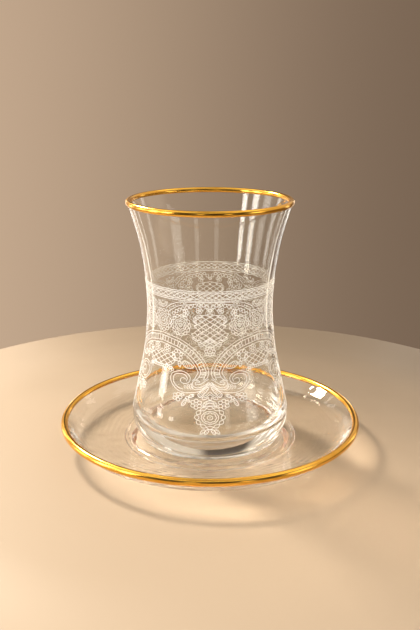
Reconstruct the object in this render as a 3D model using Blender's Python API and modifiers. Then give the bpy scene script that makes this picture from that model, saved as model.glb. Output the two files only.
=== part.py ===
"""A waisted tea glass with a gilded lip, standing on its clear saucer, whose rim is gilded too.

Metres, +Z up. The origin is under the middle of the saucer, on the surface that it stands on,
and the axis of both turned pieces is +Z. Outlines are lists of (radius, height) points.
"""

import math

import bpy

# Turning
STEPS = 64
MERGE_DISTANCE = 0.0001
SHARP_ANGLE = math.radians(35)
CLEARANCE = 0.0003

# Saucer: a flat middle on a foot ring, a low ridge round the glass, and a flange bent up to the rim
SAUCER_MIDDLE_TOP = 0.0034
SAUCER_RECESS = 0.0008
FOOT_RING_INNER_RADIUS = 0.0303
FOOT_RING_OUTER_RADIUS = 0.0340
FOOT_RING_BEVEL = 0.0008
RIDGE_RADIUS = 0.0306
RIDGE_HALF_WIDTH = 0.0023
RIDGE_HEIGHT = 0.0007
FLANGE_TOP_START = (0.0330, 0.0036)
TOP_BEND_START = (0.04855, 0.00578)
TOP_BEND_RADIUS = 0.0080
TOP_BEND_SLOPES = (math.radians(8), math.radians(38))
UNDER_BEND_START = (0.04829, 0.00278)
UNDER_BEND_RADIUS = 0.0100
UNDER_BEND_SLOPES = (math.radians(9), math.radians(46.5))
SAUCER_RIM_SLOPE = math.radians(42.5)
SAUCER_BEAD = (0.05685, 0.0099)
SAUCER_BEAD_RADIUS = 0.0014
SAUCER_LIP_HALF_WIDTH = 0.00085

# Glass: a thick base, a rounded belly, a narrow waist and a flared lip
GLASS_FOOT_HEIGHT = SAUCER_MIDDLE_TOP + CLEARANCE
GLASS_FOOT_RADIUS = 0.0275
GLASS_FOOT_EDGE = 0.0004
GLASS_FOOT_RING_WIDTH = 0.0026
PUNT_DEPTH = 0.0006
PUNT_RISE = 0.0012
BELLY_RADIUS = 0.03025
BELLY_HEIGHT = 0.0125
HEEL_ARC_RADIUS = 0.0122
HIP_STATIONS = ((0.0240, 0.02825), (0.0400, 0.02505))
WAIST_STATION = (0.0580, 0.02380)
FLARE_STATION = (0.0780, 0.02605)
GLASS_BEAD = (0.0299, 0.0947)
GLASS_BEAD_RADIUS = 0.00115
GLASS_LIP_SLOPE = math.radians(73)
GLASS_LIP_HALF_WIDTH = 0.0006
FLARE_STEEPENING = 1.12
WALL_AT_LIP = 0.00125
WALL_AT_BASE = 0.0021
FLOOR_HEIGHT = 0.0096
FLOOR_CORNER_RADIUS = 0.0068
FLOOR_CORNER_START = math.radians(11)

# Colours: red, green, blue, alpha
CLEAR_GLASS_COLOUR = (0.96, 0.97, 0.95, 1.0)
GOLD_COLOUR = (0.86, 0.58, 0.16, 1.0)
GLASS_ROUGHNESS = 0.02
GOLD_ROUGHNESS = 0.16
GLASS_INDEX = 1.5


def arc(centre, radius, start, end, count):
    """count points on a circle of the outline's plane, from one angle to the other."""
    points = []
    for i in range(count):
        angle = start + (end - start) * i / (count - 1)
        points.append((centre[0] + radius * math.cos(angle), centre[1] + radius * math.sin(angle)))
    return points


def evenly(low, high, count):
    """count heights from low to high, both included."""
    return [low + (high - low) * i / (count - 1) for i in range(count)]


def lip_corners(bead, bead_radius, slope, half_width):
    """The outer and inner corners of the wall's top face, which stands clear of the gilded bead."""
    along = (math.cos(slope), math.sin(slope))
    across = (math.sin(slope), -math.cos(slope))
    back = math.sqrt(bead_radius**2 - half_width**2) + CLEARANCE
    middle = (bead[0] - back * along[0], bead[1] - back * along[1])
    outer = (middle[0] + half_width * across[0], middle[1] + half_width * across[1])
    inner = (middle[0] - half_width * across[0], middle[1] - half_width * across[1])
    return outer, inner


def bead_outline(bead, bead_radius, slope, half_width):
    """A round bead with one flat, as wide as the lip below it. It runs clockwise from the flat."""
    opening = math.asin(half_width / bead_radius)
    towards_wall = slope + math.pi
    return arc(bead, bead_radius, towards_wall - opening, towards_wall + opening - 2 * math.pi, 11)


def glass_stations():
    """(height, radius) of the glass's outer wall, from the belly up to the lip."""
    outer_lip, _ = lip_corners(GLASS_BEAD, GLASS_BEAD_RADIUS, GLASS_LIP_SLOPE, GLASS_LIP_HALF_WIDTH)
    lip_station = (outer_lip[1], outer_lip[0])
    return [(BELLY_HEIGHT, BELLY_RADIUS), *HIP_STATIONS, WAIST_STATION, FLARE_STATION, lip_station]


def outer_radius(height):
    """The outer wall's radius: a smooth curve through the stations, upright at the belly."""
    stations = glass_stations()
    last = len(stations) - 1
    span = 0
    while span < last - 1 and height > stations[span + 1][0]:
        span += 1
    lean = []
    for i in (span, span + 1):
        below = stations[max(i - 1, 0)]
        above = stations[min(i + 1, last)]
        lean.append((above[1] - below[1]) / (above[0] - below[0]))
    if span == 0:
        lean[0] = 0.0
    if span == last - 1:
        lean[1] *= FLARE_STEEPENING
    (low, low_radius), (high, high_radius) = stations[span], stations[span + 1]
    t = (height - low) / (high - low)
    return (
        (2 * t**3 - 3 * t**2 + 1) * low_radius
        + (t**3 - 2 * t**2 + t) * (high - low) * lean[0]
        + (3 * t**2 - 2 * t**3) * high_radius
        + (t**3 - t**2) * (high - low) * lean[1]
    )


def inner_radius(height):
    """The inner wall's radius: the wall thins evenly from the base to the lip."""
    share = (height - FLOOR_HEIGHT) / (GLASS_BEAD[1] - FLOOR_HEIGHT)
    return outer_radius(height) - WALL_AT_BASE - (WALL_AT_LIP - WALL_AT_BASE) * share


def glass_outline():
    """From the middle of the floor up the inner wall, over the lip, and down to the foot."""
    corner_height = FLOOR_HEIGHT + FLOOR_CORNER_RADIUS
    corner = (inner_radius(corner_height) - FLOOR_CORNER_RADIUS, corner_height)
    floor_corner = arc(corner, FLOOR_CORNER_RADIUS, -math.pi / 2, FLOOR_CORNER_START, 7)
    outer_lip, inner_lip = lip_corners(
        GLASS_BEAD, GLASS_BEAD_RADIUS, GLASS_LIP_SLOPE, GLASS_LIP_HALF_WIDTH
    )
    inside = [(inner_radius(z), z) for z in evenly(floor_corner[-1][1], inner_lip[1], 9)[1:-1]]
    outside = [(outer_radius(z), z) for z in evenly(outer_lip[1], BELLY_HEIGHT, 13)[1:-1]]
    heel_centre = (BELLY_RADIUS - HEEL_ARC_RADIUS, BELLY_HEIGHT)
    heel_end = -math.acos((GLASS_FOOT_RADIUS - heel_centre[0]) / HEEL_ARC_RADIUS)
    heel = arc(heel_centre, HEEL_ARC_RADIUS, 0, heel_end, 5)
    edge_centre = (GLASS_FOOT_RADIUS - GLASS_FOOT_EDGE, GLASS_FOOT_HEIGHT + GLASS_FOOT_EDGE)
    edge = arc(edge_centre, GLASS_FOOT_EDGE, 0, -math.pi / 2, 3)
    ring_inner = GLASS_FOOT_RADIUS - GLASS_FOOT_RING_WIDTH
    foot = [
        (ring_inner, GLASS_FOOT_HEIGHT),
        (ring_inner - 2 * PUNT_DEPTH, GLASS_FOOT_HEIGHT + PUNT_DEPTH),
        (0.0, GLASS_FOOT_HEIGHT + PUNT_RISE),
    ]
    floor = [(0.0, FLOOR_HEIGHT)]
    return [*floor, *floor_corner, *inside, inner_lip, outer_lip, *outside, *heel, *edge, *foot]


def bend(start, radius, slopes, count):
    """Points of the flange's bend up to the rim, from the first slope to the second."""
    centre = (start[0] - radius * math.sin(slopes[0]), start[1] + radius * math.cos(slopes[0]))
    return arc(centre, radius, slopes[0] - math.pi / 2, slopes[1] - math.pi / 2, count)


def saucer_outline():
    """From the middle of the top out to the rim, and back under the flange to the foot ring."""
    ridge = []
    for i in range(7):
        across = -1 + i / 3
        lift = RIDGE_HEIGHT * (1 - across**2)
        ridge.append((RIDGE_RADIUS + across * RIDGE_HALF_WIDTH, SAUCER_MIDDLE_TOP + lift))
    top_bend = bend(TOP_BEND_START, TOP_BEND_RADIUS, TOP_BEND_SLOPES, 6)
    under_bend = bend(UNDER_BEND_START, UNDER_BEND_RADIUS, UNDER_BEND_SLOPES, 6)
    outer_lip, inner_lip = lip_corners(
        SAUCER_BEAD, SAUCER_BEAD_RADIUS, SAUCER_RIM_SLOPE, SAUCER_LIP_HALF_WIDTH
    )
    underside = [
        (FOOT_RING_OUTER_RADIUS + FOOT_RING_BEVEL, FOOT_RING_BEVEL / 2),
        (FOOT_RING_OUTER_RADIUS, 0.0),
        (FOOT_RING_INNER_RADIUS, 0.0),
        (FOOT_RING_INNER_RADIUS - FOOT_RING_BEVEL, SAUCER_RECESS),
        (0.0, SAUCER_RECESS),
    ]
    top = [(0.0, SAUCER_MIDDLE_TOP), *ridge, FLANGE_TOP_START, *top_bend, inner_lip]
    return [*top, outer_lip, *reversed(under_bend), *underside]


def make_material(name, colour, roughness, metallic, transmission):
    material = bpy.data.materials.new(name)
    material.use_nodes = True
    material.diffuse_color = colour
    shader = material.node_tree.nodes["Principled BSDF"]
    shader.inputs["Base Color"].default_value = colour
    shader.inputs["Roughness"].default_value = roughness
    shader.inputs["Metallic"].default_value = metallic
    shader.inputs["Transmission Weight"].default_value = transmission
    shader.inputs["IOR"].default_value = GLASS_INDEX
    return material


def turn(name, outline, material, collection, closed=False):
    """Turns an outline about +Z. It runs down its outer side, so that the faces point outwards."""
    links = [(i, i + 1) for i in range(len(outline) - 1)]
    if closed:
        links.append((len(outline) - 1, 0))
    mesh = bpy.data.meshes.new(name)
    mesh.from_pydata([(radius, 0.0, height) for radius, height in outline], links, [])
    piece = bpy.data.objects.new(name, mesh)
    collection.objects.link(piece)
    screw = piece.modifiers.new("Turn", "SCREW")
    screw.steps = STEPS
    screw.render_steps = STEPS
    screw.use_merge_vertices = True
    screw.merge_threshold = MERGE_DISTANCE
    bpy.context.view_layer.objects.active = piece
    bpy.ops.object.modifier_apply(modifier=screw.name)
    piece.data.shade_smooth()
    piece.data.set_sharp_from_angle(angle=SHARP_ANGLE)
    piece.data.materials.append(material)
    return piece


def main():
    for old in list(bpy.data.objects):
        bpy.data.objects.remove(old, do_unlink=True)
    collection = bpy.data.collections.new("tea_glass_and_saucer")
    bpy.context.scene.collection.children.link(collection)

    glass_clear = make_material("glass_clear", CLEAR_GLASS_COLOUR, GLASS_ROUGHNESS, 0.0, 1.0)
    saucer_clear = make_material("saucer_clear", CLEAR_GLASS_COLOUR, GLASS_ROUGHNESS, 0.0, 1.0)
    glass_gold = make_material("glass_gold", GOLD_COLOUR, GOLD_ROUGHNESS, 1.0, 0.0)
    saucer_gold = make_material("saucer_gold", GOLD_COLOUR, GOLD_ROUGHNESS, 1.0, 0.0)

    turn("saucer", saucer_outline(), saucer_clear, collection)
    turn("glass", glass_outline(), glass_clear, collection)
    glass_bead = bead_outline(
        GLASS_BEAD, GLASS_BEAD_RADIUS, GLASS_LIP_SLOPE, GLASS_LIP_HALF_WIDTH
    )
    saucer_bead = bead_outline(
        SAUCER_BEAD, SAUCER_BEAD_RADIUS, SAUCER_RIM_SLOPE, SAUCER_LIP_HALF_WIDTH
    )
    turn("glass_gold_rim", glass_bead, glass_gold, collection, closed=True)
    turn("saucer_gold_rim", saucer_bead, saucer_gold, collection, closed=True)


main()
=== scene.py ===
import itertools
import math

import bpy
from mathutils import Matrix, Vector


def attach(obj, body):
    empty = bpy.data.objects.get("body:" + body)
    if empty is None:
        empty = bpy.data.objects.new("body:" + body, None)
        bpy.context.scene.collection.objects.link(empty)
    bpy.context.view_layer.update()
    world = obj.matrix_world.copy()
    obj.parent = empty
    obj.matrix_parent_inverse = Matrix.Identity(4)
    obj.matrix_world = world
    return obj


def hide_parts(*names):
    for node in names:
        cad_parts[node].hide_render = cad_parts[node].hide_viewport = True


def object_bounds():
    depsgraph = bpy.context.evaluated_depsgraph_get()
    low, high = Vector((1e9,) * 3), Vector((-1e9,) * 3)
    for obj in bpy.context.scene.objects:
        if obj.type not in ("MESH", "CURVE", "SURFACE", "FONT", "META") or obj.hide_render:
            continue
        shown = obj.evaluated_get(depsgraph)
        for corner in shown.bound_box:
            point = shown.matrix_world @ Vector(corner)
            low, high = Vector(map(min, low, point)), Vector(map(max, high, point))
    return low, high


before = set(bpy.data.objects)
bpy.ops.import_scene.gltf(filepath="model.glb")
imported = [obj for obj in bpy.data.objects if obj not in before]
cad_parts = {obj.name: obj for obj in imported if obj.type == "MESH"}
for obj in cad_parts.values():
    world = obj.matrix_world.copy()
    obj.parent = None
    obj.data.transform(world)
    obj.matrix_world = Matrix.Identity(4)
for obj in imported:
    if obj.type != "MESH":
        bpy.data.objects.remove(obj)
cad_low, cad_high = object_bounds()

# Saucer. Pressed clear soda-lime glass, fire-polished: a flat middle on a foot ring, a low ridge
# that keeps the glass in its place, and a flange bent up to the rim. It is turned from one
# outline of (radius, height) points in metres, which runs down its outer side.

TURN_STEPS = 192
MERGE_DISTANCE = 0.00005
BRACE_DISTANCE = 0.00012
BRACED_RUN = 6 * BRACE_DISTANCE
BRACE_TO_AXIS = 10 * BRACE_DISTANCE

SAUCER_MIDDLE_TOP = 0.0034
SAUCER_RECESS = 0.0008
FOOT_RING_INNER_RADIUS = 0.0303
FOOT_RING_OUTER_RADIUS = 0.0340
FOOT_RING_ROUNDING = 0.0005
RIDGE_RADIUS = 0.0306
RIDGE_HALF_WIDTH = 0.0023
RIDGE_HEIGHT = 0.0007
FLANGE_TOP_START = (0.0330, 0.0036)
TOP_BEND_START = (0.04855, 0.00578)
TOP_BEND_RADIUS = 0.0080
TOP_BEND_SLOPES = (math.radians(8), math.radians(38))
UNDER_BEND_START = (0.04829, 0.00278)
UNDER_BEND_RADIUS = 0.0100
UNDER_BEND_SLOPES = (math.radians(9), math.radians(46.5))
SAUCER_BEAD = (0.05685, 0.0099)
SAUCER_BEAD_RADIUS = cad_high.x - SAUCER_BEAD[0]
SAUCER_RIM_SLOPE = math.radians(42.5)
SAUCER_LIP_HALF_WIDTH = 0.00085
SAUCER_RIM = (SAUCER_BEAD, SAUCER_BEAD_RADIUS, SAUCER_RIM_SLOPE, SAUCER_LIP_HALF_WIDTH)
GILDING_THICKNESS = 0.00015
GILDING_CLEARANCE = 0.00001
RIDGE_POINTS = 17
BEND_POINTS = 24
SAUCER_LIP_POINTS = 25
ROUNDING_POINTS = 6


def arc(centre, radius, start, end, count):
    """count points on a circle of the outline's plane, from one angle to the other."""
    points = []
    for i in range(count):
        angle = start + (end - start) * i / (count - 1)
        points.append((centre[0] + radius * math.cos(angle), centre[1] + radius * math.sin(angle)))
    return points


def evenly(low, high, count):
    """count numbers from low to high, both included."""
    return [low + (high - low) * i / (count - 1) for i in range(count)]


def lip_arc(bead, bead_radius, slope, half_width, count):
    """The rounded lip under the gilding, from the inner side of the wall over to its outer side."""
    radius = bead_radius - GILDING_THICKNESS - GILDING_CLEARANCE
    opening = math.asin(half_width / radius)
    towards_wall = slope + math.pi
    return arc(bead, radius, towards_wall - opening, towards_wall + opening - 2 * math.pi, count)


def braced(outline):
    """Adds a point near each end of every long run, which keeps the smooth shading true there."""
    points = [outline[0]]
    for start, end in zip(outline, outline[1:]):
        length = math.hypot(end[0] - start[0], end[1] - start[1])
        if length > BRACED_RUN:
            for share in (BRACE_DISTANCE / length, 1 - BRACE_DISTANCE / length):
                brace = (start[0] + (end[0] - start[0]) * share,
                         start[1] + (end[1] - start[1]) * share)
                if brace[0] > BRACE_TO_AXIS:
                    points.append(brace)
        points.append(end)
    return points


def added(name, data):
    """A new object in the scene."""
    item = bpy.data.objects.new(name, data)
    bpy.context.scene.collection.objects.link(item)
    return item


def settled(name, live):
    """A plain object with the mesh that a live object's modifier makes, in its place."""
    depsgraph = bpy.context.evaluated_depsgraph_get()
    mesh = bpy.data.meshes.new_from_object(live.evaluated_get(depsgraph))
    mesh.name = name
    bpy.data.objects.remove(live)
    return added(name, mesh)


def turned(name, outline, closed=False):
    """Turns an outline about +Z into a smooth closed mesh, with its faces pointing outwards."""
    links = [(i, i + 1) for i in range(len(outline) - 1)]
    if closed:
        links.append((len(outline) - 1, 0))
    mesh = bpy.data.meshes.new(name + "_outline")
    mesh.from_pydata([(radius, 0.0, height) for radius, height in outline], links, [])
    live = added(name + "_outline", mesh)
    screw = live.modifiers.new("Turn", "SCREW")
    screw.steps = TURN_STEPS
    screw.render_steps = TURN_STEPS
    screw.use_merge_vertices = True
    screw.merge_threshold = MERGE_DISTANCE
    piece = settled(name, live)
    piece.data.shade_smooth()
    return piece


def bend(start, radius, slopes):
    """Points of the flange's bend up to the rim, from the first slope to the second."""
    centre = (start[0] - radius * math.sin(slopes[0]), start[1] + radius * math.cos(slopes[0]))
    return arc(centre, radius, slopes[0] - math.pi / 2, slopes[1] - math.pi / 2, BEND_POINTS)


def saucer_outline():
    ridge = []
    for across in evenly(-1, 1, RIDGE_POINTS):
        lift = RIDGE_HEIGHT * (1 - across**2)
        ridge.append((RIDGE_RADIUS + across * RIDGE_HALF_WIDTH, SAUCER_MIDDLE_TOP + lift))
    top_bend = bend(TOP_BEND_START, TOP_BEND_RADIUS, TOP_BEND_SLOPES)
    under_bend = bend(UNDER_BEND_START, UNDER_BEND_RADIUS, UNDER_BEND_SLOPES)
    lip = lip_arc(*SAUCER_RIM, SAUCER_LIP_POINTS)
    rounding = FOOT_RING_ROUNDING
    ring_outer = arc((FOOT_RING_OUTER_RADIUS - rounding, rounding),
                     rounding, 0, -math.pi / 2, ROUNDING_POINTS)
    ring_inner = arc((FOOT_RING_INNER_RADIUS + rounding, rounding),
                     rounding, -math.pi / 2, -math.pi, ROUNDING_POINTS)
    recess = [(FOOT_RING_INNER_RADIUS - rounding, SAUCER_RECESS), (0.0, SAUCER_RECESS)]
    middle = [(0.0, SAUCER_MIDDLE_TOP), (RIDGE_RADIUS / 2, SAUCER_MIDDLE_TOP)]
    return [*middle, *ridge, FLANGE_TOP_START, *top_bend, *lip, *reversed(under_bend),
            *ring_outer, *ring_inner, *recess]


def set_inputs(node, inputs):
    """Gives a node its inputs: each is a plain value, the socket that feeds it, or a node, which
    feeds it from its first output."""
    for key, value in inputs.items():
        if isinstance(value, bpy.types.Node):
            value = value.outputs[0]
        if isinstance(value, bpy.types.NodeSocket):
            node.id_data.links.new(value, node.inputs[key])
        else:
            node.inputs[key].default_value = value


def add_node(tree, kind, inputs=None, **settings):
    """Adds a node with its settings, such as operation, and its inputs."""
    node = tree.nodes.new(kind)
    for key, value in settings.items():
        setattr(node, key, value)
    set_inputs(node, inputs or {})
    return node


def named_sockets(tree, in_out, sockets):
    """Gives a node group its inputs or outputs, each as (name, kind, default or None)."""
    for name, kind, default in sockets:
        socket = tree.interface.new_socket(name, in_out=in_out, socket_type="NodeSocket" + kind)
        if default is not None:
            socket.default_value = default


def blended(tree, mask, colour_a, colour_b):
    """colour_a where the mask is 0, and colour_b where it is 1."""
    inputs = {"Factor": mask, "A": colour_a, "B": colour_b}
    return add_node(tree, "ShaderNodeMix", inputs, data_type="RGBA").outputs["Result"]


def noise(tree, place, scale, detail):
    """A noise pattern, as its mask."""
    return add_node(tree, "ShaderNodeTexNoise", {"Vector": place, "Scale": scale, "Detail": detail})


def mapped(tree, value, source, target=(0.0, 1.0), **settings):
    """A value that goes over the target range as another goes over the source range."""
    return add_node(tree, "ShaderNodeMapRange", {
        "Value": value, "From Min": source[0], "From Max": source[1],
        "To Min": target[0], "To Max": target[1],
    }, **settings)


def new_material(name):
    material = bpy.data.materials.new(name)
    material.use_nodes = True
    return material, material.node_tree, material.node_tree.nodes["Principled BSDF"]


SMEAR_PATCHES = (0.5, 0.8)


def handled_surface_group():
    """Faint smears and waves of a surface that has been polished and handled."""
    group = bpy.data.node_groups.new("Handled Surface", "ShaderNodeTree")
    named_sockets(group, "INPUT", (
        ("Clean Roughness", "Float", 0.0), ("Smear Roughness", "Float", 0.04),
        ("Smear Scale", "Float", 60.0), ("Wave Scale", "Float", 40.0),
    ))
    named_sockets(group, "OUTPUT", (("Roughness", "Float", None), ("Wave", "Float", None)))
    given = add_node(group, "NodeGroupInput").outputs
    place = add_node(group, "ShaderNodeTexCoord").outputs["Object"]
    smears = noise(group, place, given["Smear Scale"], 3.0)
    waves = noise(group, place, given["Wave Scale"], 1.0)
    roughness_range = (given["Clean Roughness"], given["Smear Roughness"])
    spread = mapped(group, smears, SMEAR_PATCHES, roughness_range)
    add_node(group, "NodeGroupOutput", {"Roughness": spread, "Wave": waves})
    return group


handled_surface = handled_surface_group()

GLASS_TINT = (0.975, 0.977, 0.965, 1.0)
GLASS_INDEX = 1.5
GLASS_SMEAR_ROUGHNESS = 0.01
GLASS_SHADOW_THROUGH = (0.93, 0.92, 0.90, 1.0)
GLASS_SHADOW_EDGE = (0.45, 0.41, 0.36, 1.0)
GLASS_SHADOW_EDGE_BLEND = 0.35
SAUCER_WAVE_SCALE = 110.0
SAUCER_WAVE_DEPTH = 0.00028
MOULD_RING_SCALE = 150.0
MOULD_RING_DEPTH = 0.000012
MOULD_RING_WANDER = 5.0
MOULD_RING_WANDER_SCALE = 0.4


def clear_glass_material(name, wave_scale, wave_depth, ring_depth=0.0):
    """Clear glass that lets the lamps through, with a little waviness and rings from its mould."""
    material, tree, shader = new_material(name)
    handled = add_node(tree, "ShaderNodeGroup", {
        "Smear Roughness": GLASS_SMEAR_ROUGHNESS, "Wave Scale": wave_scale,
    }, node_tree=handled_surface)
    surface = add_node(tree, "ShaderNodeBump", {
        "Distance": wave_depth, "Height": handled.outputs["Wave"],
    })
    if ring_depth:
        place = add_node(tree, "ShaderNodeTexCoord")
        rings = add_node(tree, "ShaderNodeTexWave", {
            "Vector": place.outputs["Object"], "Scale": MOULD_RING_SCALE, "Detail": 1.0,
            "Distortion": MOULD_RING_WANDER, "Detail Scale": MOULD_RING_WANDER_SCALE,
        }, wave_type="RINGS", rings_direction="Z")
        surface = add_node(tree, "ShaderNodeBump", {
            "Distance": ring_depth, "Height": rings,
            "Normal": surface,
        })
    set_inputs(shader, {
        "Base Color": GLASS_TINT, "IOR": GLASS_INDEX, "Transmission Weight": 1.0,
        "Roughness": handled.outputs["Roughness"], "Normal": surface,
    })
    edge_on = add_node(tree, "ShaderNodeLayerWeight", {"Blend": GLASS_SHADOW_EDGE_BLEND})
    clear = add_node(tree, "ShaderNodeBsdfTransparent", {
        "Color": blended(tree, edge_on.outputs["Facing"], GLASS_SHADOW_THROUGH, GLASS_SHADOW_EDGE),
    })
    path = add_node(tree, "ShaderNodeLightPath")
    mix = add_node(tree, "ShaderNodeMixShader", {
        "Fac": path.outputs["Is Shadow Ray"], 1: shader, 2: clear,
    })
    set_inputs(tree.nodes["Material Output"], {"Surface": mix})
    return material


saucer = turned("saucer_glass", braced(saucer_outline()))
saucer.data.materials.append(clear_glass_material(
    "saucer clear glass", SAUCER_WAVE_SCALE, SAUCER_WAVE_DEPTH, MOULD_RING_DEPTH
))
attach(saucer, "root")
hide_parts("saucer")

# Gilded rim of the saucer. Bright gold fired onto the rounded lip as a thin film, which wraps
# the bead and ends under it on both sides of the wall.

GOLD_COLOUR = (0.98, 0.58, 0.11, 1.0)
GOLD_SHADE = (0.90, 0.44, 0.05, 1.0)
GOLD_CLEAN_ROUGHNESS = 0.19
GOLD_SMEAR_ROUGHNESS = 0.27
GOLD_SMEAR_SCALE = 220.0
GOLD_WAVE_SCALE = 300.0
GOLD_WAVE_DEPTH = 0.00001
GILDING_OUTSIDE_POINTS = 29
GILDING_INSIDE_POINTS = 25


def gilding_outline(bead, bead_radius, slope, half_width):
    """The film's cross-section: round the bead's outside, then back close to the glass."""
    inner_radius_of_film = bead_radius - GILDING_THICKNESS
    opening = math.asin(half_width / inner_radius_of_film)
    start = slope + math.pi - opening
    end = slope - math.pi + opening
    outside = arc(bead, bead_radius, start, end, GILDING_OUTSIDE_POINTS)
    inside = arc(bead, inner_radius_of_film, end, start, GILDING_INSIDE_POINTS)
    return [*outside, *inside]


def gold_material(name):
    """Fired gold: deep yellow, a little redder where the film is thin, with soft brush marks."""
    material, tree, shader = new_material(name)
    handled = add_node(tree, "ShaderNodeGroup", {
        "Clean Roughness": GOLD_CLEAN_ROUGHNESS, "Smear Roughness": GOLD_SMEAR_ROUGHNESS,
        "Smear Scale": GOLD_SMEAR_SCALE, "Wave Scale": GOLD_WAVE_SCALE,
    }, node_tree=handled_surface)
    wave = handled.outputs["Wave"]
    brushed = add_node(tree, "ShaderNodeBump", {"Distance": GOLD_WAVE_DEPTH, "Height": wave})
    set_inputs(shader, {
        "Base Color": blended(tree, wave, GOLD_COLOUR, GOLD_SHADE), "Metallic": 1.0,
        "Roughness": handled.outputs["Roughness"], "Normal": brushed,
    })
    return material


gold = gold_material("fired gold")
saucer_gold = turned("saucer_gilding", gilding_outline(*SAUCER_RIM), closed=True)
saucer_gold.data.materials.append(gold)
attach(saucer_gold, "root")
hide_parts("saucer_gold_rim")

# Glass. Blown and pressed clear glass in one piece: a thick base that narrows to a foot, a
# rounded belly, a narrow waist to hold it by, and a flared lip. The wall thins towards the lip.

GLASS_FOOT_HEIGHT = 0.0037
GLASS_FOOT_RADIUS = 0.0275
GLASS_FOOT_EDGE = 0.0004
GLASS_FOOT_RING_WIDTH = 0.0026
PUNT_DEPTH = 0.0006
PUNT_RISE = 0.0012
BELLY_RADIUS = 0.03025
BELLY_HEIGHT = 0.0125
HEEL_ARC_RADIUS = 0.0122
WALL_STATIONS = ((BELLY_HEIGHT, BELLY_RADIUS), (0.0240, 0.02825), (0.0400, 0.02505),
                 (0.0580, 0.02380), (0.0780, 0.02605), (0.09330, 0.03010))
FLARE_STEEPENING = 1.12
GLASS_BEAD = (0.0299, 0.0947)
GLASS_BEAD_RADIUS = cad_high.z - GLASS_BEAD[1]
GLASS_LIP_SLOPE = math.radians(73)
GLASS_LIP_HALF_WIDTH = 0.0006
GLASS_RIM = (GLASS_BEAD, GLASS_BEAD_RADIUS, GLASS_LIP_SLOPE, GLASS_LIP_HALF_WIDTH)
WALL_AT_LIP = 0.00125
WALL_AT_BASE = 0.0021
FLOOR_HEIGHT = 0.0096
FLOOR_CORNER_RADIUS = 0.0068
FLOOR_CORNER_START = math.radians(11)
FLOOR_CORNER_POINTS = 20
INNER_WALL_POINTS = 50
OUTER_WALL_POINTS = 60
GLASS_LIP_POINTS = 21
HEEL_POINTS = 16
PUNT_POINTS = 6
GLASS_WAVE_SCALE = 40.0
GLASS_WAVE_DEPTH = 0.00002


def outer_radius(height):
    """The outer wall's radius: a smooth curve through the stations of belly, hip, waist, flare
    and lip, upright at the belly."""
    last = len(WALL_STATIONS) - 1
    span = 0
    while span < last - 1 and height > WALL_STATIONS[span + 1][0]:
        span += 1
    lean = []
    for i in (span, span + 1):
        below = WALL_STATIONS[max(i - 1, 0)]
        above = WALL_STATIONS[min(i + 1, last)]
        lean.append((above[1] - below[1]) / (above[0] - below[0]))
    if span == 0:
        lean[0] = 0.0
    if span == last - 1:
        lean[1] *= FLARE_STEEPENING
    (low, low_radius), (high, high_radius) = WALL_STATIONS[span:span + 2]
    t = (height - low) / (high - low)
    return (
        (2 * t**3 - 3 * t**2 + 1) * low_radius
        + (t**3 - 2 * t**2 + t) * (high - low) * lean[0]
        + (3 * t**2 - 2 * t**3) * high_radius
        + (t**3 - t**2) * (high - low) * lean[1]
    )


def inner_radius(height):
    """The inner wall's radius: the wall thins evenly from the base to the lip."""
    share = (height - FLOOR_HEIGHT) / (GLASS_BEAD[1] - FLOOR_HEIGHT)
    return outer_radius(height) - WALL_AT_BASE - (WALL_AT_LIP - WALL_AT_BASE) * share


def glass_outline():
    corner_height = FLOOR_HEIGHT + FLOOR_CORNER_RADIUS
    corner = (inner_radius(corner_height) - FLOOR_CORNER_RADIUS, corner_height)
    floor_corner = arc(
        corner, FLOOR_CORNER_RADIUS, -math.pi / 2, FLOOR_CORNER_START, FLOOR_CORNER_POINTS
    )
    lip = lip_arc(*GLASS_RIM, GLASS_LIP_POINTS)
    inner_heights = evenly(floor_corner[-1][1], lip[0][1], INNER_WALL_POINTS)[1:-1]
    outer_heights = evenly(lip[-1][1], BELLY_HEIGHT, OUTER_WALL_POINTS)[1:-1]
    heel_centre = (BELLY_RADIUS - HEEL_ARC_RADIUS, BELLY_HEIGHT)
    heel_end = -math.acos((GLASS_FOOT_RADIUS - heel_centre[0]) / HEEL_ARC_RADIUS)
    heel = arc(heel_centre, HEEL_ARC_RADIUS, 0, heel_end, HEEL_POINTS)
    edge_centre = (GLASS_FOOT_RADIUS - GLASS_FOOT_EDGE, GLASS_FOOT_HEIGHT + GLASS_FOOT_EDGE)
    edge = arc(edge_centre, GLASS_FOOT_EDGE, 0, -math.pi / 2, ROUNDING_POINTS)
    ring_inner = GLASS_FOOT_RADIUS - GLASS_FOOT_RING_WIDTH
    punt = []
    for share in evenly(0, 1, PUNT_POINTS):
        rise = PUNT_DEPTH * (1 - math.cos(share * math.pi)) / 2
        punt.append((ring_inner - 2 * PUNT_DEPTH * share, GLASS_FOOT_HEIGHT + rise))
    return [
        (0.0, FLOOR_HEIGHT), *floor_corner, *((inner_radius(z), z) for z in inner_heights), *lip,
        *((outer_radius(z), z) for z in outer_heights), *heel, *edge, *punt,
        (0.0, GLASS_FOOT_HEIGHT + PUNT_RISE),
    ]


glass = turned("tea_glass", braced(glass_outline()))
glass.data.materials.append(
    clear_glass_material("tea glass clear glass", GLASS_WAVE_SCALE, GLASS_WAVE_DEPTH)
)
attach(glass, "root")
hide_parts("glass")

# Gilded lip of the glass. The same bright gold, painted in a thin film over the rounded lip and
# fired on. It ends just under the bead on both sides of the wall.

lip_gold = turned("lip_gilding", gilding_outline(*GLASS_RIM), closed=True)
lip_gold.data.materials.append(gold)
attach(lip_gold, "root")
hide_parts("glass_gold_rim")

# White lace, braid. All the lace is fine white enamel, printed on the outer wall and fired, so
# that each line stands up very slightly. The braid has three strands between double borders, and
# it closes the lace at the top, where the wall begins to flare.

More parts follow.
